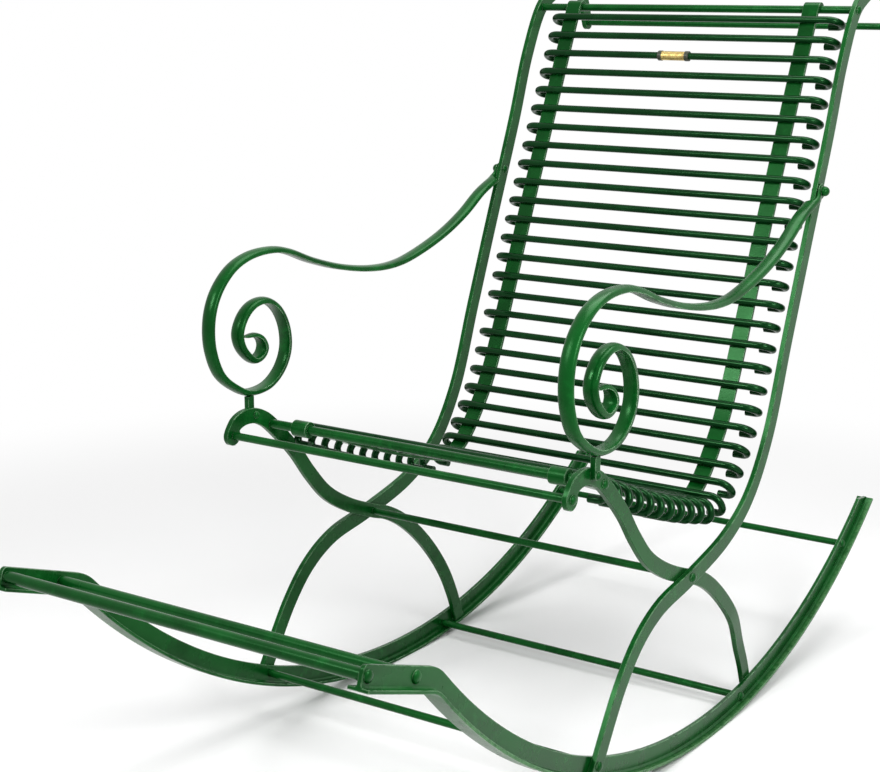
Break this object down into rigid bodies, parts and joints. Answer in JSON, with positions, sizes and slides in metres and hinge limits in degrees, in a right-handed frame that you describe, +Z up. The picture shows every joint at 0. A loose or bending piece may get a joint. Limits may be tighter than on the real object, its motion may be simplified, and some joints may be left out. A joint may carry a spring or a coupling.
{
  "type": "rocking chaise lounge",
  "caption": "Wrought-iron rocking chaise lounge with bent-rod slats, scrolled arms, T-section rockers and a short footrest rail, painted dark green.",
  "frame": {"origin": "on the ground under the middle of the chair's box", "axes": "+Z up, +Y from the footrest to the back, so that the sitter faces -Y, +X to the sitter's left"},
  "size_m": [0.5962, 1.4278, 1.0729],
  "materials": {
    "frame_paint": "deep gloss green paint over wrought iron, worn at the edges",
    "slat_paint": "deep gloss green paint over round rods",
    "tag_brass": "plain aged brass"
  },
  "bodies": {
    "root": {"rocker_left": "frame_paint", "rocker_right": "frame_paint", "back_bar_left": "frame_paint", "back_bar_right": "frame_paint", "leg_bar_left": "frame_paint", "leg_bar_right": "frame_paint", "arm_left": "frame_paint", "arm_right": "frame_paint", "post_left": "frame_paint", "post_right": "frame_paint", "strap_left": "frame_paint", "strap_right": "frame_paint", "rod_upper_front": "frame_paint", "rod_lower_front": "frame_paint", "rod_crossing": "frame_paint", "rod_rear_leg": "frame_paint", "rod_rear": "frame_paint", "rod_top": "frame_paint", "rod_curl": "frame_paint", "rod_front_leg": "frame_paint", "rod_footrest_tip": "frame_paint", "rod_footrest_heel": "frame_paint", "slat_01": "slat_paint", "slat_02": "slat_paint", "slat_03": "slat_paint", "slat_04": "slat_paint", "slat_05": "slat_paint", "slat_06": "slat_paint", "slat_07": "slat_paint", "slat_08": "slat_paint", "slat_09": "slat_paint", "slat_10": "slat_paint", "slat_11": "slat_paint", "slat_12": "slat_paint", "slat_13": "slat_paint", "slat_14": "slat_paint", "slat_15": "slat_paint", "slat_16": "slat_paint", "slat_17": "slat_paint", "slat_18": "slat_paint", "slat_19": "slat_paint", "slat_20": "slat_paint", "slat_21": "slat_paint", "slat_22": "slat_paint", "slat_23": "slat_paint", "slat_24": "slat_paint", "slat_25": "slat_paint", "slat_26": "slat_paint", "slat_27": "slat_paint", "slat_28": "slat_paint", "slat_29": "slat_paint", "slat_30": "slat_paint", "slat_31": "slat_paint", "slat_32": "slat_paint", "slat_33": "slat_paint", "slat_34": "slat_paint", "slat_35": "slat_paint", "slat_36": "slat_paint", "tag": "tag_brass"}
  },
  "joints": []
}
